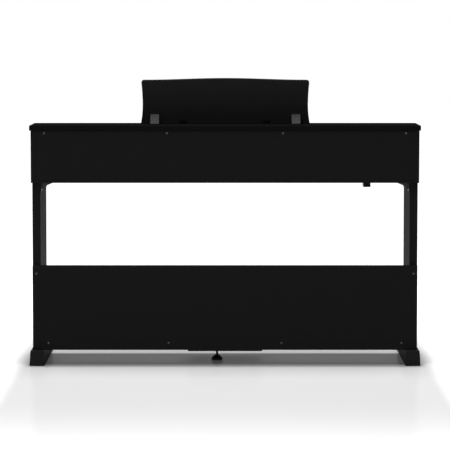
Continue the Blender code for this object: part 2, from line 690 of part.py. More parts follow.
def make_pedals(finishes):
    low, high = PEDAL_BOX
    wall = PEDAL_WALL
    box = place("pedal_box", box_mesh("pedal_box", low, high), finishes["foot"])
    hollow_low = (low[0] + wall, low[1] + wall, low[2] - CUT)
    combine(box, box_mesh("hollow", hollow_low, (high[0] - wall, high[1] - wall, high[2] - wall)), "DIFFERENCE")
    slot_half, slot_floor, slot_top = PEDAL_SLOT[0] / 2, PEDAL_SLOT[1], PEDAL_SLOT[2]
    for number, name in ((-1, "pedal_left"), (0, "pedal_middle"), (1, "pedal_right")):
        x = number * PEDAL_PITCH
        opening = (x - slot_half, low[1] - CUT, slot_floor), (x + slot_half, low[1] + CUT, slot_top)
        combine(box, box_mesh("slot", *opening), "DIFFERENCE")
        mesh = prism_mesh(name, pedal_plan(), -PEDAL_THICK / 2, PEDAL_THICK / 2)
        place(name, mesh, finishes["pedal"], (x, PEDAL_PIVOT_Y, PEDAL_PIVOT_Z))
    bearing_low = (low[0] + 0.001, PEDAL_PIVOT_Y + 0.0005, slot_floor)
    bearing_high = (high[0] - 0.001, PEDAL_PIVOT_Y + 0.012, high[2] - 0.001)
    combine(box, box_mesh("bearing", bearing_low, bearing_high), "UNION")

    x, y = ADJUSTER_AT
    nut_high = (x + 0.011, PEDAL_PIVOT_Y + 0.004, low[2] + 0.019)
    combine(box, box_mesh("nut_block", (x - 0.011, y - 0.014, low[2]), nut_high), "UNION")
    bore = turned_mesh("bore", [(ADJUSTER_BORE_R, low[2] - CUT), (ADJUSTER_BORE_R, low[2] + 0.017)], 16)
    bore.transform(Matrix.Translation((x, y, 0.0)))
    combine(box, bore, "DIFFERENCE")
    profile = [(0.0180, 0.0), (0.0200, 0.0015), (0.0200, 0.0060), (0.0172, 0.0105), (0.0132, 0.0145)]
    profile += [(0.0080, 0.0180), (0.0040, 0.0195), (0.0040, low[2] + 0.015)]
    place("height_adjuster", turned_mesh("height_adjuster", profile, 24), finishes["control"], (x, y, 0.0))


def pedal_plan():
    """A narrow shank that widens into a pad with a round end."""
    half, shank = PEDAL_WIDTH / 2, PEDAL_WIDTH / 2 - 0.003
    plan = [(-shank, 0.0), (-shank, -0.085), (-half, -0.110)]
    plan += arc(0.0, -PEDAL_LENGTH, half, 180, 360, 8)
    return plan + [(half, -0.110), (shank, -0.085), (shank, 0.0)]


def main():
    clear_scene()
    finishes = {
        "case": finish("satin_black_board", (0.012, 0.012, 0.013), 0.45),
        "foot": finish("black_moulded_plastic", (0.010, 0.010, 0.011), 0.5),
        "control": finish("black_plastic", (0.006, 0.006, 0.007), 0.4),
        "metal": finish("blackened_steel", (0.05, 0.05, 0.052), 0.35, 0.9),
        "stay": finish("grey_steel", (0.06, 0.06, 0.06), 0.4, 0.6),
        "plate": finish("zinc_plate", (0.5, 0.5, 0.52), 0.4, 1.0),
        "felt": finish("red_felt", (0.25, 0.01, 0.02), 0.95),
        "circuit": finish("green_circuit", (0.01, 0.10, 0.04), 0.5),
        "speaker": finish("speaker_black", (0.02, 0.02, 0.02), 0.6),
        "white_key": finish("white_key_plastic", (0.85, 0.84, 0.80), 0.25),
        "black_key": finish("black_key_plastic", (0.01, 0.01, 0.01), 0.45),
        "pedal": finish("brass_pedal", (0.75, 0.58, 0.30), 0.25, 1.0),
    }
    make_case(finishes)
    make_key_blocks(finishes)
    make_cover(finishes)
    make_music_rest(finishes)
    make_keys(finishes)
    make_inside(finishes)
    make_jacks(finishes)
    make_stand(finishes)
    make_pedals(finishes)


main()
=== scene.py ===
"""Looks of the console digital piano: finishes, small fittings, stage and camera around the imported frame."""
import math

import bmesh
import bpy
from mathutils import Matrix, Vector


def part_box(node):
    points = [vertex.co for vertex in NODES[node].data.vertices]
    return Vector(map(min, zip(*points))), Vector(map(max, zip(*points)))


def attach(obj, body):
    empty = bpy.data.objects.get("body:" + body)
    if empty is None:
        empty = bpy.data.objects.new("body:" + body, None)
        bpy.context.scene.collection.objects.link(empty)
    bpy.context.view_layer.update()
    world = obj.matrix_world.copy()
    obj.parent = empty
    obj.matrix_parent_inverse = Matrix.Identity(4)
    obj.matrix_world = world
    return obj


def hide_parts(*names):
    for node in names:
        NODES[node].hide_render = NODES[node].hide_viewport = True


bl_info = {
    "name": "Digital Piano Looks",
    "version": (1, 0, 0),
    "blender": (4, 5, 0),
    "location": "View3D > Sidebar > Piano",
    "description": "Finishes and small fittings of a console digital piano, with a plain studio",
    "category": "Object",
}

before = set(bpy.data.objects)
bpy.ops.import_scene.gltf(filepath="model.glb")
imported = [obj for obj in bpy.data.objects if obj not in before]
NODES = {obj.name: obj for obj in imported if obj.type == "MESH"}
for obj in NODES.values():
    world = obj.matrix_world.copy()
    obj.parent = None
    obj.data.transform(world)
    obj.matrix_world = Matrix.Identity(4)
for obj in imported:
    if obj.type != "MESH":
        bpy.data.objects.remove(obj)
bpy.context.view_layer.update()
SIDES = ("left", "right")
SHARP_ANGLE = math.radians(35)

# Pieces of the frame that the fittings are set against
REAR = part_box("rear_panel")
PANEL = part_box("lower_panel")
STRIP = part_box("fall_strip")
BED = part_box("keybed")
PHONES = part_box("headphone_box")
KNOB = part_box("volume_knob")
BRACKETS = [f"bracket_{place}_{side}" for place in ("front", "rear") for side in SIDES]

# Finishes: fineness and depth of the noise, and the foil's pores, which lie along a board
NOISE_DETAIL = 6.0
RELIEF_DEPTH = 0.0004
PORE_LENGTH = 20
PORE_STRETCH = 12.0

# Screws in the back: name, panel, height and places across, as the photograph shows them
BACK_SCREWS = (
    ("case", REAR, 0.8160, (-0.633, -0.203, 0.203, 0.633)),
    ("panel_side", PANEL, 0.3226, (-0.6624, 0.6624)),
    ("panel_low", PANEL, 0.0767, (-0.621, -0.1986, 0.1986, 0.621)),
)
BACK_SCREW_SINK = 0.0006
SCREW_SIDES = 20
# Pan head as shares of its radius: radius and height
SCREW_PROFILE = ((1.0, 0.0), (1.0, 0.105), (0.86, 0.294), (0.55, 0.42), (0.30, 0.4284), (0.22, 0.147))

# Screws of the corner brackets
BRACKET_LEAF = 0.0026
BRACKET_SCREW_R = 0.0034
BRACKET_SCREW_EDGE = 0.007
BRACKET_SCREW_UP = 0.013
BRACKET_SCREW_IN = 0.008

# Hinge of the music rest: its leaf lies along the leaning rest, measured from the pin
KNUCKLE_R = 0.0032
REST_LEAN = math.radians(18.0)
LEAF_SPARE = 0.002
LEAF_Y = (-0.0073, -0.0061)
LEAF_Z = (-0.0072, 0.0039)
LEAF_EDGE = 0.0004
HINGE_SCREW_R = 0.0030
HINGE_SCREW_END = 0.006
HINGE_SCREW_AT = (0.007, 0.0017)

# Volume knob: share of the radius, share of the height and depth of the grip's grooves
KNOB_ROWS = (
    (1.0, 0.0, 0.0), (1.0, 0.18, 0.0), (0.93, 0.22, 0.0003), (0.90, 0.86, 0.0003), (0.86, 0.95, 0.0),
    (0.78, 1.0, 0.0),
)
KNOB_RIBS = 30
POINTER_HALF = 0.0004
POINTER_RISE = 0.0002
POINTER_SPAN = (0.25, 0.76)

# Foot of the height adjuster: share of the radius, height and depth of the grooves
FOOT_ROWS = (
    (0.90, 0.0, 0.0), (1.0, 0.0015, 0.0007), (1.0, 0.0060, 0.0007), (0.86, 0.0105, 0.0007),
    (0.66, 0.0145, 0.0), (0.40, 0.0180, 0.0), (0.21, 0.0195, 0.0),
)
FOOT_RIBS = 18
STEM_R = 0.0040
THREAD_PITCH = 0.00125
THREAD_DEPTH = 0.0004
THREAD_STOP = 0.001

# Speaker openings: slats along the piano, and two ribs across them
GRILLE_R = 0.0470
SLATS = 11
SLAT_SPREAD = 0.92
SLAT_HALF = 0.0016
SLAT_Z = (0.0005, 0.0030)
RIB_X = (-0.020, 0.020)
RIB_REACH = 0.94
RIB_HALF = 0.0014
RIB_Z = (0.0014, 0.0040)
SLAT_EDGE = 0.0006

# Pedals: the pad's neck is drawn in towards the shank, measured from the pad's centre
SHANK_INSET = 0.003
NECK_SHARE = 0.93
NECK_Y = (0.026, 0.040, 0.058)
PAD_STEPS = 16
PEDAL_EDGE = 0.0028

# Controls and sockets
LAMP_PROFILE = ((0.0013, 0.0), (0.0013, 0.0003), (0.0009, 0.0007), (0.0003, 0.0009))
LAMP_BESIDE = 0.0045
LAMP_SINK = 0.0001
LAMP_SIDES = 16
SOCKET_DOWN = (0.0105, 0.0265)
RIM_INNER = 0.0034
RIM_OUTER = 0.0050
RIM_DEPTH = 0.0014
RIM_SLOPE = 0.4 * RIM_DEPTH
RIM_SET_IN = 0.0001
RIM_SIDES = 28

# Keyboard, worked out from the frame
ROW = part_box("key_frame")
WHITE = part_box("key_d")
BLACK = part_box("key_d_sharp")
WHITE_COUNT = 52
PITCH = (ROW[1].x - ROW[0].x) / WHITE_COUNT
WHITE_GAP = 0.001
HEAD_LENGTH = 0.048
BLACK_NOTCH = 0.0135
TAIL_END = WHITE[1].y - 0.030
OCTAVES = 8
OCTAVE_WHITES = 7
FIRST_C = 2
MIDDLE_OCTAVE = 3
MIDDLE_FIRST = FIRST_C + OCTAVE_WHITES * MIDDLE_OCTAVE
WHITE_NAMES = "c d e f g a b".split()
BLACK_AFTER = {"c_sharp": 1, "d_sharp": 2, "f_sharp": 4, "g_sharp": 5, "a_sharp": 6}
LOWEST_BLACK = "a_sharp"

# Sections of the keys: the bars at their rear, rounded edges, and a black key's outline seen from the side
WHITE_UNDERSIDE = 0.003
WHITE_BAR_START = TAIL_END - 0.008
WHITE_BAR_HEIGHT = 0.010
WHITE_EDGE = 0.0009
BLACK_BAR_START = TAIL_END + 0.001
BLACK_BAR_DOWN = (0.023, 0.013)
BLACK_EDGE = 0.0011
BLACK_REAR = ((0.0, -0.013), (0.0, -0.002), (-0.05, 0.0))
BLACK_FRONT = ((0.010, 0.0), (0.005, -0.003), (0.0, -0.0115), (0.0, -0.024))
BLACK_HEEL = (-0.019, -0.024)
BLACK_SHOULDER = 0.005
BLACK_DRAWN_IN = 0.12

# Felt edge behind the keys, measured from the fall strip's front lower edge
FELT_Y = (0.002, 0.006)
FELT_Z = (-0.0025, -0.0001)
FELT_EDGE = 0.0010

# Studio: the painted shade on the floor under the stand, and where the floor's glow begins and is full; the
# glow is low near the piano as painted shade and raised in front of the stand as painted light
FLOOR_SPAN = 30.0
FLOOR_Z = -0.0006
FLOOR_WHITE = 0.80
FLOOR_NEAR = 1.0
FLOOR_FAR = 3.2
FLOOR_SIDE_NEAR = 0.688
FLOOR_SIDE_FAR = 0.80
PAINTED_SHADE_X = (0.66, 0.72)
PAINTED_SHADE_FRONT = (-0.14, -0.09)
PAINTED_SHADE_REAR = (0.20, 0.27)
# Painted shade: the share of the paper's colour that is left under the stand
PAINTED_SHADE_DEPTH = 0.33
# Painted light: the glow of the floor in front of the stand
FRONT_PAINTED_LIGHT = 0.24
FRONT_FADE = (-0.35, -1.30)
# Painted shade: the low glow of the floor close to the piano
PAINTED_SHADE_GLOW = 0.03
FLOOR_POLISH = 0.07
POLISH_ROUGHNESS = 0.16
WORLD_LIGHT = 0.12
# Soft lights: name, place, size and power, all aimed at the middle of the piano
LIGHTS = (
    ("overhead_light", (0.0, 0.4, 5.0), 4.0, 260.0),
    ("fill_light", (1.5, 5.5, 2.2), 3.0, 60.0),
    ("front_light", (-1.2, -2.6, 4.2), 2.5, 8.0),
)
LIGHT_AIM = (0.0, 0.0, 0.5)
SENSOR_WIDTH = 36.0


class PianoFinishes(bpy.types.PropertyGroup):
    """Colours and gloss of the piano's surfaces"""

    board: bpy.props.FloatVectorProperty(
        name="Board", description="Black foil on the boards",
        subtype="COLOR", default=(0.0122, 0.0122, 0.0125),
    )
    # Painted shade: the top board has the same black foil as the other boards, made darker as painted shade
    top: bpy.props.FloatVectorProperty(
        name="Top", description="Black foil on the top board",
        subtype="COLOR", default=(0.0070, 0.0070, 0.0072),
    )
    rest: bpy.props.FloatVectorProperty(
        name="Music rest", description="Black lacquer of the rest",
        subtype="COLOR", default=(0.0200, 0.0200, 0.0204),
    )
    board_gloss: bpy.props.FloatProperty(
        name="Board roughness", description="Roughness of the satin foil", default=0.42, min=0.0, max=1.0
    )
    grain: bpy.props.FloatProperty(
        name="Grain width", description="Width of one pore line in the foil", default=0.0012, unit="LENGTH"
    )
    plastic: bpy.props.FloatVectorProperty(
        name="Plastic", description="Black moulded plastic",
        subtype="COLOR", default=(0.0160, 0.0160, 0.0166),
    )
    ivory: bpy.props.FloatVectorProperty(
        name="White keys", description="Off-white key plastic", subtype="COLOR", default=(0.83, 0.82, 0.77)
    )
    ebony: bpy.props.FloatVectorProperty(
        name="Black keys", description="Black key plastic", subtype="COLOR", default=(0.008, 0.008, 0.008)
    )
    brass: bpy.props.FloatVectorProperty(
        name="Pedals", description="Polished pedal brass", subtype="COLOR", default=(0.80, 0.62, 0.33)
    )
    steel: bpy.props.FloatVectorProperty(
        name="Brackets", description="Dark plated steel", subtype="COLOR", default=(0.022, 0.022, 0.023)
    )
    screw: bpy.props.FloatVectorProperty(
        name="Screws", description="Black zinc screws", subtype="COLOR", default=(0.045, 0.045, 0.047)
    )


class PianoSizes(bpy.types.PropertyGroup):
    """Sizes of the screws and of the view"""

    screw_head: bpy.props.FloatProperty(
        name="Screw head", description="Diameter of a screw head", default=0.0085, unit="LENGTH"
    )
    eye_height: bpy.props.FloatProperty(
        name="Eye height", description="Camera height above the floor", default=1.179, unit="LENGTH"
    )
    eye_distance: bpy.props.FloatProperty(
        name="Eye distance", description="Camera distance behind the case", default=8.4, unit="LENGTH"
    )
    eye_pitch: bpy.props.FloatProperty(
        name="Eye pitch", description="Downward tilt of the camera",
        default=math.radians(4.66), subtype="ANGLE",
    )
    lens: bpy.props.FloatProperty(
        name="Lens", description="Focal length in millimetres", default=192.3, min=10.0, max=500.0
    )


def finishes():
    """The colours and gloss that the user can change."""
    return bpy.context.scene.piano_finishes


def sizes():
    """The sizes that the user can change."""
    return bpy.context.scene.piano_sizes


def shader_tree(name):
    """A new material with its shader, nodes and links."""
    material = bpy.data.materials.new(name)
    material.use_nodes = True
    nodes = material.node_tree.nodes
    return material, nodes["Principled BSDF"], nodes, material.node_tree.links


def varied(
    name, colour, rough, swing=0.08, scale=60.0, bump=0.05, metallic=0.0, specular=0.5, stretch=(1, 1, 1)
):
    """A finish whose colour, roughness and height vary with a fine noise."""
    material, shader, nodes, links = shader_tree(name)
    place = nodes.new("ShaderNodeTexCoord")
    mapping = nodes.new("ShaderNodeMapping")
    mapping.inputs["Scale"].default_value = stretch
    noise = nodes.new("ShaderNodeTexNoise")
    noise.inputs["Scale"].default_value = scale
    noise.inputs["Detail"].default_value = NOISE_DETAIL
    links.new(place.outputs["Object"], mapping.inputs["Vector"])
    links.new(mapping.outputs["Vector"], noise.inputs["Vector"])
    tone = nodes.new("ShaderNodeMix")
    tone.data_type = "RGBA"
    tone.inputs["A"].default_value = (*[c * (1 - swing) for c in colour], 1.0)
    tone.inputs["B"].default_value = (*[min(1.0, c * (1 + swing)) for c in colour], 1.0)
    links.new(noise.outputs["Fac"], tone.inputs["Factor"])
    links.new(tone.outputs["Result"], shader.inputs["Base Color"])
    gloss = nodes.new("ShaderNodeMapRange")
    gloss.inputs["To Min"].default_value = max(0.02, rough - swing)
    gloss.inputs["To Max"].default_value = min(1.0, rough + swing)
    links.new(noise.outputs["Fac"], gloss.inputs["Value"])
    links.new(gloss.outputs["Result"], shader.inputs["Roughness"])
    relief = nodes.new("ShaderNodeBump")
    relief.inputs["Strength"].default_value = bump
    relief.inputs["Distance"].default_value = RELIEF_DEPTH
    links.new(noise.outputs["Fac"], relief.inputs["Height"])
    links.new(relief.outputs["Normal"], shader.inputs["Normal"])
    shader.inputs["Metallic"].default_value = metallic
    shader.inputs["Specular IOR Level"].default_value = specular
    return material


def paint(material, *names):
    """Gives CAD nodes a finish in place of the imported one."""
    for name in names:
        mesh = NODES[name].data
        mesh.materials.clear()
        mesh.materials.append(material)


def piece(name, shape, material, body="root", smooth=True):
    """A new piece from a bmesh, which rides on a body."""
    mesh = bpy.data.meshes.new(name)
    shape.to_mesh(mesh)
    shape.free()
    if smooth:
        mesh.shade_smooth()
        mesh.set_sharp_from_angle(angle=SHARP_ANGLE)
    mesh.materials.append(material)
    thing = bpy.data.objects.new(name, mesh)
    bpy.context.scene.collection.objects.link(thing)
    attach(thing, body)
    return thing


def rounded(thing, width, segments=3):
    """Rounds the edges of a piece."""
    bevel = thing.modifiers.new("edges", "BEVEL")
    bevel.width = width
    bevel.segments = segments
    bevel.limit_method = "ANGLE"
    bevel.harden_normals = True
    return thing


def circle(radius, height, sides, groove=0.0, grooved=()):
    """One ring of points about Z; in each four points, those in grooved are set in by groove."""
    points = []
    for k in range(sides):
        reach = radius - groove if k % 4 in grooved else radius
        angle = 2 * math.pi * k / sides
        points.append((reach * math.cos(angle), reach * math.sin(angle), height))
    return points


def skinned(rings):
    """A bmesh over rings of points, the lowest ring first, closed at both ends."""
    shape = bmesh.new()
    rings = [[shape.verts.new(point) for point in ring] for ring in rings]
    for lower, upper in zip(rings, rings[1:]):
        for k in range(len(lower)):
            j = (k + 1) % len(lower)
            shape.faces.new((lower[k], lower[j], upper[j], upper[k]))
    shape.faces.new(list(reversed(rings[0])))
    shape.faces.new(rings[-1])
    return shape


def turned(profile, sides, matrix):
    """A bmesh turned about Z from (radius, height) points, then placed by a matrix."""
    shape = skinned([circle(radius, height, sides) for radius, height in profile])
    bmesh.ops.transform(shape, matrix=matrix, verts=shape.verts)
    return shape


def add_box(shape, low, high):
    """Adds a box between two corners."""
    size = Vector(high) - Vector(low)
    matrix = Matrix.Translation((Vector(high) + Vector(low)) / 2) @ Matrix.Diagonal((*size, 1.0))
    bmesh.ops.create_cube(shape, size=1.0, matrix=matrix)


def add_prism(shape, outline, low, high, layout):
    """Adds a flat outline extruded between two levels; layout turns (a, b, level) into a point."""
    lower = [shape.verts.new(layout(a, b, low)) for a, b in outline]
    upper = [shape.verts.new(layout(a, b, high)) for a, b in outline]
    faces = [shape.faces.new(lower), shape.faces.new(upper)]
    for k in range(len(outline)):
        j = (k + 1) % len(outline)
        faces.append(shape.faces.new((lower[k], lower[j], upper[j], upper[k])))
    bmesh.ops.recalc_face_normals(shape, faces=faces)
    return lower, upper


def plan_view(a, b, level):
    """An outline drawn from above and extruded upwards."""
    return (a, b, level)


def side_view(a, b, level):
    """An outline drawn from the side and extruded across the piano."""
    return (level, a, b)


def screw_shape(centre, facing, radius):
    """A pan-head screw with a round recess, its head standing out along facing."""
    profile = [(radius * across, radius * up) for across, up in SCREW_PROFILE]
    matrix = Matrix.Translation(centre) @ Vector(facing).to_track_quat("Z", "Y").to_matrix().to_4x4()
    return turned(profile, SCREW_SIDES, matrix)


def screw_back(material):
    """The screws that hold the rear panel and the lower panel."""
    radius = sizes().screw_head / 2
    spots = [(place, x, box[1].y, z) for place, box, z, row in BACK_SCREWS for x in row]
    for number, (place, x, y, z) in enumerate(spots, 1):
        shape = screw_shape(Vector((x, y - BACK_SCREW_SINK, z)), (0.0, 1.0, 0.0), radius)
        piece(f"screw_{place}_{number}", shape, material)


def screw_bracket(name, material):
    """Screws through both leaves of a corner bracket."""
    low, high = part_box(name)
    side = 1 if low.x > 0 else -1
    inner, outer = (low.x, high.x) if side > 0 else (high.x, low.x)
    for number, y in enumerate((low.y + BRACKET_SCREW_EDGE, high.y - BRACKET_SCREW_EDGE), 1):
        at = Vector((outer - side * BRACKET_LEAF, y, low.z + BRACKET_SCREW_UP))
        shape = screw_shape(at, (-side, 0.0, 0.0), BRACKET_SCREW_R)
        piece(f"screw_{name}_side_{number}", shape, material)
        at = Vector((inner + side * BRACKET_SCREW_IN, y, high.z - BRACKET_LEAF))
        shape = screw_shape(at, (0.0, 0.0, -1.0), BRACKET_SCREW_R)
        piece(f"screw_{name}_top_{number}", shape, material)


def screw_hinge(side, material):
    """Screws through the rest hinge's leaf on the top board."""
    low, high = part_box("rest_hinge_" + side)
    along, up = HINGE_SCREW_AT
    for number, x in enumerate((low.x + HINGE_SCREW_END, high.x - HINGE_SCREW_END), 1):
        at = Vector((x, low.y + along, low.z + up))
        shape = screw_shape(at, (0.0, 0.0, 1.0), HINGE_SCREW_R)
        piece(f"screw_hinge_{side}_{number}", shape, material)


def make_hinge_leaf(side, material):
    """The leaf of the rest's hinge, on the player's face of the rest over its notch."""
    low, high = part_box("rest_hinge_" + side)
    pin = Vector(((low.x + high.x) / 2, high.y - KNUCKLE_R, high.z - KNUCKLE_R))
    half = (high.x - low.x) / 2 + LEAF_SPARE
    shape = bmesh.new()
    add_box(shape, (-half, LEAF_Y[0], LEAF_Z[0]), (half, LEAF_Y[1], LEAF_Z[1]))
    lean = Matrix.Translation(pin) @ Matrix.Rotation(-REST_LEAN, 4, "X")
    bmesh.ops.transform(shape, matrix=lean, verts=shape.verts)
    return rounded(piece("hinge_leaf_" + side, shape, material, "rest"), LEAF_EDGE, 2)


def make_knob(material):
    """The volume knob with a ribbed grip and a pointer line."""
    radius, height = (KNOB[1].x - KNOB[0].x) / 2, KNOB[1].z - KNOB[0].z
    shape = skinned([
        circle(radius * share, height * up, 4 * KNOB_RIBS, groove, (0, 1)) for share, up, groove in KNOB_ROWS
    ])
    start, end = [radius * share for share in POINTER_SPAN]
    low = (-POINTER_HALF, start, height - POINTER_RISE)
    add_box(shape, low, (POINTER_HALF, end, height + POINTER_RISE))
    middle = (KNOB[0] + KNOB[1]) / 2
    bmesh.ops.translate(shape, verts=shape.verts, vec=(middle.x, middle.y, KNOB[0].z))
    knob = piece("volume_grip", shape, material, "volume")
    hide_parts("volume_knob")
    return knob


def make_foot_screw(material):
    """The ribbed foot of the height adjuster: a low bell on a threaded stem."""
    low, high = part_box("height_adjuster")
    radius, sides = (high.x - low.x) / 2, 4 * FOOT_RIBS
    rings = [circle(radius * share, height, sides, groove, (0,)) for share, height, groove in FOOT_ROWS]
    height = FOOT_ROWS[-1][1]
    while height < high.z - THREAD_STOP:
        rings.append(circle(STEM_R, height, sides))
        rings.append(circle(STEM_R - THREAD_DEPTH, height + THREAD_PITCH / 2, sides))
        height += THREAD_PITCH
    shape = skinned(rings)
    middle = (low + high) / 2
    bmesh.ops.translate(shape, verts=shape.verts, vec=(middle.x, middle.y, low.z))
    foot = piece("adjuster_foot", shape, material, "adjuster")
    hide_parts("height_adjuster")
    return foot


def make_grille(side, material):
    """Slats across the speaker's hole in the keybed, just above its underside."""
    low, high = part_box("speaker_" + side)
    x, y = (low.x + high.x) / 2, (low.y + high.y) / 2
    under = BED[0].z
    shape = bmesh.new()
    for k in range(SLATS):
        across = GRILLE_R * SLAT_SPREAD * (2 * k / (SLATS - 1) - 1)
        reach = math.sqrt(GRILLE_R ** 2 - across ** 2)
        start = (x - reach, y + across - SLAT_HALF, under + SLAT_Z[0])
        add_box(shape, start, (x + reach, y + across + SLAT_HALF, under + SLAT_Z[1]))
    for across in RIB_X:
        reach = math.sqrt(GRILLE_R ** 2 - across ** 2) * RIB_REACH
        start = (x + across - RIB_HALF, y - reach, under + RIB_Z[0])
        add_box(shape, start, (x + across + RIB_HALF, y + reach, under + RIB_Z[1]))
    return rounded(piece("speaker_grille_" + side, shape, material), SLAT_EDGE, 2)


def make_lamp(material):
    """The small lamp beside the power button."""
    low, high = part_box("power_button")
    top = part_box("key_block_left")[1].z
    at = Vector((low.x - LAMP_BESIDE, (low.y + high.y) / 2, top - LAMP_SINK))
    return piece("power_lamp", turned(LAMP_PROFILE, LAMP_SIDES, Matrix.Translation(at)), material)


def make_socket_rim(number, down, material):
    """A metal rim round a headphone socket, on the front of its box."""
    x, y, z = (PHONES[0].x + PHONES[1].x) / 2, PHONES[0].y + RIM_SET_IN, BED[0].z - down
    profile = [(RIM_INNER, 0.0), (RIM_OUTER, 0.0), (RIM_OUTER, RIM_DEPTH - RIM_SLOPE)]
    profile += [(RIM_OUTER - RIM_SLOPE, RIM_DEPTH), (RIM_INNER, RIM_DEPTH)]
    shape = bmesh.new()
    rings = []
    for k in range(RIM_SIDES):
        angle = 2 * math.pi * k / RIM_SIDES
        along, up = math.cos(angle), math.sin(angle)
        rings.append([shape.verts.new((x + r * along, y - out, z + r * up)) for r, out in profile])
    for k in range(RIM_SIDES):
        here, there = rings[k], rings[(k + 1) % RIM_SIDES]
        for m in range(len(profile)):
            n = (m + 1) % len(profile)
            shape.faces.new((here[m], here[n], there[n], there[m]))
    bmesh.ops.recalc_face_normals(shape, faces=shape.faces)
    return piece(f"phones_rim_{number}", shape, material)


def make_pedal(place, material):
    """A brass pedal with a rounded pad, in place of its plain solid."""
    low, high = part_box("pedal_" + place)
    x, half = (low.x + high.x) / 2, (high.x - low.x) / 2
    pad = low.y + half
    widths = (half, half * NECK_SHARE, half - SHANK_INSET)
    edge = [(width, pad + y) for width, y in zip(widths, NECK_Y)] + [(half - SHANK_INSET, high.y)]
    plan = [(x - width, y) for width, y in reversed(edge)]
    for k in range(PAD_STEPS + 1):
        angle = math.pi + math.pi * k / PAD_STEPS
        plan.append((x + half * math.cos(angle), pad + half * math.sin(angle)))
    plan += [(x + width, y) for width, y in edge]
    shape = bmesh.new()
    add_prism(shape, plan, low.z, high.z, plan_view)
    pedal = rounded(piece("pedal_arm_" + place, shape, material, "pedal_" + place), PEDAL_EDGE, 4)
    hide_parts("pedal_" + place)
    return pedal


def white_left(index):
    """Left edge of a white key, counted from the lowest."""
    return ROW[0].x + index * PITCH


def black_centres():
    """Every black key as (octave, name, centre x), octave 0 being the part octave below the first C."""
    found = []
    for octave in range(OCTAVES):
        for name, whites in BLACK_AFTER.items():
            if octave == 0 and name != LOWEST_BLACK:
                continue
            low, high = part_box("key_" + name)
            offset = (low.x + high.x) / 2 - white_left(MIDDLE_FIRST + whites)
            first = FIRST_C + OCTAVE_WHITES * (octave - 1)
            found.append((octave, name, white_left(first + whites) + offset))
    return found


def add_white_key(shape, index, centres):
    """One white key: a full-width head and a tail drawn in beside the black keys."""
    left, right = white_left(index) + WHITE_GAP / 2, white_left(index + 1) - WHITE_GAP / 2
    tail_left, tail_right = left, right
    for centre in centres:
        if abs(centre - white_left(index)) < PITCH / 4:
            tail_left = centre + BLACK_NOTCH / 2
        if abs(centre - white_left(index + 1)) < PITCH / 4:
            tail_right = centre - BLACK_NOTCH / 2
    front, head_end = WHITE[0].y, WHITE[0].y + HEAD_LENGTH
    plan = [(left, front), (right, front)]
    if tail_right < right:
        plan += [(right, head_end), (tail_right, head_end)]
    plan += [(tail_right, TAIL_END), (tail_left, TAIL_END)]
    if tail_left > left:
        plan += [(tail_left, head_end), (left, head_end)]
    add_prism(shape, plan, WHITE[0].z + WHITE_UNDERSIDE, WHITE[1].z, plan_view)
    return tail_left, tail_right


def add_black_key(shape, centre):
    """One black key, narrower on top, with a sloping front."""
    half = (BLACK[1].x - BLACK[0].x) / 2
    front, top = BLACK[0].y, BLACK[1].z
    side = [(TAIL_END + y, top + z) for y, z in BLACK_REAR]
    side += [(front + y, top + z) for y, z in BLACK_FRONT]
    side += [(TAIL_END + BLACK_HEEL[0], top + BLACK_HEEL[1])]
    left, right = add_prism(shape, side, centre - half, centre + half, side_view)
    for vert in left + right:
        if vert.co.z > top - BLACK_SHOULDER:
            vert.co.x -= math.copysign(half * BLACK_DRAWN_IN, vert.co.x - centre)


def make_white_keys(centres, material):
    """Rounded white keys in place of the plain solids, one piece for each body."""
    groups = [("white_keys_bass", range(MIDDLE_FIRST))]
    groups += [("white_keys_treble", range(MIDDLE_FIRST + OCTAVE_WHITES, WHITE_COUNT))]
    groups += [("key_" + note, [MIDDLE_FIRST + step]) for step, note in enumerate(WHITE_NAMES)]
    for body, indexes in groups:
        shape = bmesh.new()
        ends = [add_white_key(shape, index, centres) for index in indexes]
        low = (ends[0][0], WHITE_BAR_START, WHITE[0].z)
        add_box(shape, low, (ends[-1][1], WHITE[1].y, WHITE[0].z + WHITE_BAR_HEIGHT))
        keys = rounded(piece(body + "_shaped", shape, material, body, smooth=False), WHITE_EDGE)
        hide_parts(body)


def make_black_keys(blacks, material):
    """Rounded black keys in place of the plain solids, one piece for each body."""
    half = (BLACK[1].x - BLACK[0].x) / 2
    middle = MIDDLE_OCTAVE + 1
    groups = [("black_keys_bass", [x for octave, _, x in blacks if octave < middle])]
    groups += [("black_keys_treble", [x for octave, _, x in blacks if octave > middle])]
    groups += [("key_" + name, [x]) for octave, name, x in blacks if octave == middle]
    for body, spots in groups:
        shape = bmesh.new()
        for centre in spots:
            add_black_key(shape, centre)
        bottom, top = [BLACK[1].z - down for down in BLACK_BAR_DOWN]
        low = (min(spots) - half, BLACK_BAR_START, bottom)
        add_box(shape, low, (max(spots) + half, BLACK[1].y, top))
        keys = rounded(piece(body + "_shaped", shape, material, body, smooth=False), BLACK_EDGE)
        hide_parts(body)


def make_felt_edge(material):
    """The felt edge that shows between the keys and the strip behind them."""
    front, low = STRIP[0].y, STRIP[0].z
    shape = bmesh.new()
    start = (ROW[0].x, front + FELT_Y[0], low + FELT_Z[0])
    add_box(shape, start, (ROW[1].x, front + FELT_Y[1], low + FELT_Z[1]))
    return rounded(piece("back_felt", shape, material), FELT_EDGE)


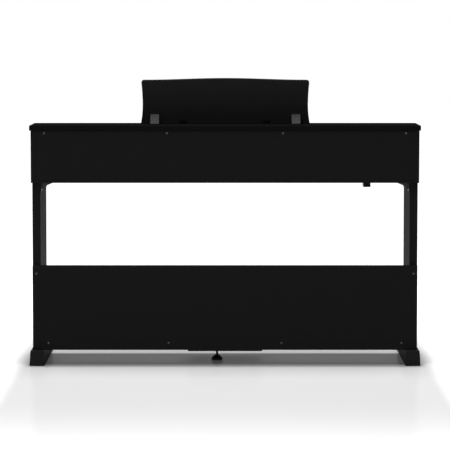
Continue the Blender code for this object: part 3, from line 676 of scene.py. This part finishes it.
class PIANO_OT_boards(bpy.types.Operator):
    """Black foil on the boards and lacquer on the music rest"""

    bl_idname = "piano.boards"
    bl_label = "Boards"

    def execute(self, context):
        look = finishes()
        foil = {"rough": look.board_gloss, "swing": 0.05, "scale": 1.0 / look.grain / PORE_LENGTH}
        along = {**foil, "stretch": (1.0, PORE_STRETCH, PORE_STRETCH)}
        upright = {**foil, "stretch": (PORE_STRETCH, PORE_STRETCH, 1.0)}
        back = varied("satin_foil", look.board, bump=0.10, specular=0.0, **along)
        paint(back, "rear_panel", "lower_panel", "keybed")
        front = varied("satin_foil_front", look.board, bump=0.10, specular=0.03, **along)
        paint(front, "cheek_left", "cheek_right", "key_slip", "fall_strip")
        paint(front, "key_block_left", "key_block_right", "key_cover")
        # Painted shade: the top board's foil is a darker copy of the board foil
        top = varied("top_foil_painted_shade", look.top, bump=0.10, specular=0.0, **along)
        paint(top, "top_board")
        side = varied("side_foil", look.board, bump=0.10, specular=0.0010, **upright)
        paint(side, "side_board_left", "side_board_right")
        lacquer = varied("rest_lacquer", look.rest, bump=0.06, specular=0.0, **along)
        paint(lacquer, "music_rest")
        return {"FINISHED"}


class PIANO_OT_plastics(bpy.types.Operator):
    """Moulded plastic feet, pedal box, controls and sockets"""

    bl_idname = "piano.plastics"
    bl_label = "Plastic parts"

    def execute(self, context):
        look = finishes()
        moulded = varied("moulded_plastic", look.plastic, 0.5, 0.06, 900.0, 0.12, specular=0.003)
        paint(moulded, "foot_left", "foot_right", "pedal_box")
        socket = varied("socket_plastic", (0.004, 0.004, 0.004), 0.5, 0.06, 900.0, 0.12, specular=0.1)
        paint(socket, "headphone_box", "jack_plate")
        make_foot_screw(socket)
        smooth = varied("control_plastic", look.plastic, 0.35, 0.05, 700.0, 0.05, specular=0.5)
        paint(smooth, "power_button", "function_button_1", "function_button_2", "function_button_3")
        make_knob(smooth)
        lamp = varied("lamp_lens", (0.30, 0.012, 0.010), 0.15, 0.03, 300.0, 0.01, specular=0.6)
        make_lamp(lamp)
        for side in SIDES:
            make_grille(side, smooth)
        rim = varied("socket_rim", (0.5, 0.5, 0.5), 0.25, 0.05, 500.0, 0.03, metallic=1.0)
        for number, down in enumerate(SOCKET_DOWN, 1):
            make_socket_rim(number, down, rim)
        return {"FINISHED"}


class PIANO_OT_metals(bpy.types.Operator):
    """Brackets, hinges, stays, pedals and screws"""

    bl_idname = "piano.metals"
    bl_label = "Metal parts"

    def execute(self, context):
        look = finishes()
        plated = varied("dark_plate", look.steel, 0.35, 0.12, 120.0, 0.08, metallic=0.4, specular=0.2)
        paint(plated, *BRACKETS)
        hinge = varied("hinge_paint", (0.006, 0.006, 0.006), 0.6, 0.05, 300.0, 0.05, specular=0.02)
        paint(hinge, "rest_hinge_left", "rest_hinge_right")
        for side in SIDES:
            make_hinge_leaf(side, hinge)
        stay = varied("stay_paint", (0.007, 0.007, 0.0073), 0.5, 0.06, 300.0, 0.05, specular=0.30)
        paint(stay, "rest_stay_left", "rest_stay_right")
        brushed = (8.0, 1.0, 1.0)
        brass = varied("pedal_brass", look.brass, 0.2, 0.06, 90.0, 0.02, metallic=1.0, stretch=brushed)
        for place in ("left", "middle", "right"):
            make_pedal(place, brass)
        zinc = varied("zinc_plate", (0.5, 0.5, 0.52), 0.4, 0.1, 40.0, 0.05, metallic=1.0)
        paint(zinc, "key_frame")
        screw = varied("screw_zinc", look.screw, 0.3, 0.1, 600.0, 0.05, metallic=1.0)
        screw_back(screw)
        for name in BRACKETS:
            screw_bracket(name, plated)
        for side in SIDES:
            screw_hinge(side, hinge)
        return {"FINISHED"}


class PIANO_OT_keys(bpy.types.Operator):
    """White and black keys, and the felt under and behind them"""

    bl_idname = "piano.keys"
    bl_label = "Keys"

    def execute(self, context):
        look = finishes()
        ivory = varied("ivory_plastic", look.ivory, 0.18, 0.02, 300.0, 0.02, specular=0.5)
        grained = (6.0, 1.0, 1.0)
        ebony = varied("ebony_plastic", look.ebony, 0.4, 0.05, 500.0, 0.08, specular=0.4, stretch=grained)
        blacks = black_centres()
        make_white_keys([centre for _, _, centre in blacks], ivory)
        make_black_keys(blacks, ebony)
        felt = varied("red_felt", (0.25, 0.012, 0.02), 0.95, 0.15, 900.0, 0.4, specular=0.2)
        paint(felt, "key_felt")
        make_felt_edge(felt)
        return {"FINISHED"}


class PIANO_OT_inside(bpy.types.Operator):
    """Circuit boards and speakers"""

    bl_idname = "piano.inside"
    bl_label = "Inside"

    def execute(self, context):
        circuit = varied("circuit_green", (0.01, 0.09, 0.035), 0.45, 0.2, 150.0, 0.1)
        paint(circuit, "contact_board", "main_board")
        cone = varied("speaker_cone", (0.018, 0.018, 0.018), 0.7, 0.1, 400.0, 0.2)
        paint(cone, "speaker_left", "speaker_right")
        return {"FINISHED"}


class PIANO_OT_stage(bpy.types.Operator):
    """White floor with painted shade and painted light about the stand, soft studio light and the camera
    behind the piano
    """

    bl_idname = "piano.stage"
    bl_label = "Stage"

    def execute(self, context):
        make_floor()
        for name, at, size, power in LIGHTS:
            make_light(name, at, size, power)
        make_world()
        make_camera()
        context.scene.view_settings.view_transform = "Standard"
        return {"FINISHED"}


def mathed(nodes, links, operation, first, second=None):
    """What one Math node gives for one value or two."""
    step = nodes.new("ShaderNodeMath")
    step.operation = operation
    links.new(first, step.inputs[0])
    if second is not None:
        links.new(second, step.inputs[1])
    return step.outputs[0]


def ramp(nodes, links, value, start, end, low=0.0, high=1.0):
    """Low at start, high at end, with a smooth step between them."""
    step = nodes.new("ShaderNodeMapRange")
    step.interpolation_type = "SMOOTHSTEP"
    step.inputs["From Min"].default_value = start
    step.inputs["From Max"].default_value = end
    step.inputs["To Min"].default_value = low
    step.inputs["To Max"].default_value = high
    links.new(value, step.inputs["Value"])
    return step.outputs["Result"]


def seen_directly(nodes, links):
    """1 for what the eye, a gloss or a glass ray sees, 0 for the light that the surface gives."""
    path = nodes.new("ShaderNodeLightPath")
    value = path.outputs["Is Camera Ray"]
    for ray in ("Is Glossy Ray", "Is Transmission Ray"):
        value = mathed(nodes, links, "MAXIMUM", value, path.outputs[ray])
    return value


def painted_stand_shade(nodes, links, apart):
    """Painted shade: the deep shade right under the stand, painted into the floor's colour: 1 between the
    feet, 0 outside.
    """
    beside = mathed(nodes, links, "ABSOLUTE", apart.outputs["X"])
    shade = ramp(nodes, links, beside, PAINTED_SHADE_X[1], PAINTED_SHADE_X[0])
    for start, end in (PAINTED_SHADE_FRONT, (PAINTED_SHADE_REAR[1], PAINTED_SHADE_REAR[0])):
        part = ramp(nodes, links, apart.outputs["Y"], start, end)
        shade = mathed(nodes, links, "MULTIPLY", shade, part)
    return shade


def painted_floor_glow(nodes, links, apart):
    """Glow of the white floor for the eye: little close to the piano, which is painted shade, full at the
    sides, behind and far in front, and raised as painted light in front of the stand.
    """
    beside = mathed(nodes, links, "ABSOLUTE", apart.outputs["X"])
    glow = ramp(nodes, links, beside, FLOOR_SIDE_NEAR, FLOOR_SIDE_FAR, PAINTED_SHADE_GLOW)
    away = mathed(nodes, links, "ABSOLUTE", apart.outputs["Y"])
    glow = mathed(nodes, links, "MAXIMUM", glow, ramp(nodes, links, away, FLOOR_NEAR, FLOOR_FAR, PAINTED_SHADE_GLOW))
    for start, end, peak in (PAINTED_SHADE_FRONT[1], PAINTED_SHADE_FRONT[0], FRONT_PAINTED_LIGHT), (*FRONT_FADE, 1.0):
        front = ramp(nodes, links, apart.outputs["Y"], start, end, high=peak)
        glow = mathed(nodes, links, "MAXIMUM", glow, front)
    return mathed(nodes, links, "MULTIPLY", seen_directly(nodes, links), glow)


def floor_material():
    """White paper with painted shade deep under the stand, a glow for the eye that paints shade near the piano
    and light in front of the stand, and a faint polish.
    """
    material = bpy.data.materials.new("floor_white")
    material.use_nodes = True
    nodes, links = material.node_tree.nodes, material.node_tree.links
    nodes.clear()
    place = nodes.new("ShaderNodeTexCoord")
    apart = nodes.new("ShaderNodeSeparateXYZ")
    links.new(place.outputs["Object"], apart.inputs[0])
    # Painted shade: the paper's colour darkens under the stand
    tone = nodes.new("ShaderNodeMix")
    tone.data_type = "RGBA"
    tone.inputs["A"].default_value = (*[FLOOR_WHITE] * 3, 1.0)
    tone.inputs["B"].default_value = (*[FLOOR_WHITE * PAINTED_SHADE_DEPTH] * 3, 1.0)
    links.new(painted_stand_shade(nodes, links, apart), tone.inputs["Factor"])
    paper = nodes.new("ShaderNodeBsdfDiffuse")
    links.new(tone.outputs["Result"], paper.inputs["Color"])
    # Painted light and shade: the emission is low near the piano and raised in front of the stand
    glow = nodes.new("ShaderNodeEmission")
    links.new(painted_floor_glow(nodes, links, apart), glow.inputs["Strength"])
    total = nodes.new("ShaderNodeAddShader")
    links.new(paper.outputs[0], total.inputs[0])
    links.new(glow.outputs[0], total.inputs[1])
    polish = nodes.new("ShaderNodeBsdfAnisotropic")
    polish.inputs["Roughness"].default_value = POLISH_ROUGHNESS
    mixed = nodes.new("ShaderNodeMixShader")
    mixed.inputs["Fac"].default_value = FLOOR_POLISH
    links.new(total.outputs[0], mixed.inputs[1])
    links.new(polish.outputs[0], mixed.inputs[2])
    out = nodes.new("ShaderNodeOutputMaterial")
    links.new(mixed.outputs[0], out.inputs["Surface"])
    return material


def make_floor():
    """A white floor that keeps the piano's shadow and shows a faint, soft reflection of it, with painted shade
    under and near the piano and painted light in front of the stand.
    """
    mesh = bpy.data.meshes.new("floor")
    around = ((-1, -1), (1, -1), (1, 1), (-1, 1))
    corners = [(x * FLOOR_SPAN, y * FLOOR_SPAN, FLOOR_Z) for x, y in around]
    mesh.from_pydata(corners, [], [(0, 1, 2, 3)])
    mesh.materials.append(floor_material())
    floor = bpy.data.objects.new("floor", mesh)
    bpy.context.scene.collection.objects.link(floor)


def make_light(name, at, size, power):
    """A square soft light aimed at the piano."""
    lamp = bpy.data.lights.new(name, "AREA")
    lamp.size = size
    lamp.energy = power
    thing = bpy.data.objects.new(name, lamp)
    thing.location = at
    aim = Vector(LIGHT_AIM) - Vector(at)
    thing.rotation_euler = aim.to_track_quat("-Z", "Y").to_euler()
    bpy.context.scene.collection.objects.link(thing)


def make_world():
    """A world that looks white and lights the piano faintly."""
    world = bpy.data.worlds.new("studio")
    world.use_nodes = True
    nodes, links = world.node_tree.nodes, world.node_tree.links
    level = nodes.new("ShaderNodeMapRange")
    level.inputs["To Min"].default_value = WORLD_LIGHT
    level.inputs["To Max"].default_value = 1.0
    links.new(seen_directly(nodes, links), level.inputs["Value"])
    links.new(level.outputs["Result"], nodes["Background"].inputs["Strength"])
    nodes["Background"].inputs["Color"].default_value = (1.0, 1.0, 1.0, 1.0)
    bpy.context.scene.world = world


def make_camera():
    """The camera behind the piano, looking slightly down as in the photograph."""
    size = sizes()
    lens = bpy.data.cameras.new("camera")
    lens.lens = size.lens
    lens.sensor_width = SENSOR_WIDTH
    eye = bpy.data.objects.new("camera", lens)
    eye.location = (0.0, REAR[1].y + size.eye_distance, size.eye_height)
    eye.rotation_euler = (math.pi / 2 - size.eye_pitch, 0.0, math.pi)
    bpy.context.scene.collection.objects.link(eye)
    bpy.context.scene.camera = eye


class PIANO_PT_panel(bpy.types.Panel):
    """Lists the piano's steps in the sidebar"""

    bl_idname = "PIANO_PT_panel"
    bl_label = "Digital piano"
    bl_space_type = "VIEW_3D"
    bl_region_type = "UI"
    bl_category = "Piano"

    def draw(self, context):
        for step in STEPS:
            self.layout.operator(step.bl_idname)


STEPS = (
    PIANO_OT_boards, PIANO_OT_plastics, PIANO_OT_metals, PIANO_OT_keys, PIANO_OT_inside, PIANO_OT_stage,
)
CLASSES = (PianoFinishes, PianoSizes) + STEPS + (PIANO_PT_panel,)


def register():
    """Registers the classes and the scene's own settings."""
    for item in CLASSES:
        bpy.utils.register_class(item)
    bpy.types.Scene.piano_finishes = bpy.props.PointerProperty(type=PianoFinishes)
    bpy.types.Scene.piano_sizes = bpy.props.PointerProperty(type=PianoSizes)


def unregister():
    """Takes back what register did."""
    del bpy.types.Scene.piano_sizes
    del bpy.types.Scene.piano_finishes
    for item in reversed(CLASSES):
        bpy.utils.unregister_class(item)


def main():
    """Runs the steps in order."""
    register()
    bpy.ops.piano.boards()
    bpy.ops.piano.plastics()
    bpy.ops.piano.metals()
    bpy.ops.piano.keys()
    bpy.ops.piano.inside()
    bpy.ops.piano.stage()


if __name__ == "__main__":
    main()
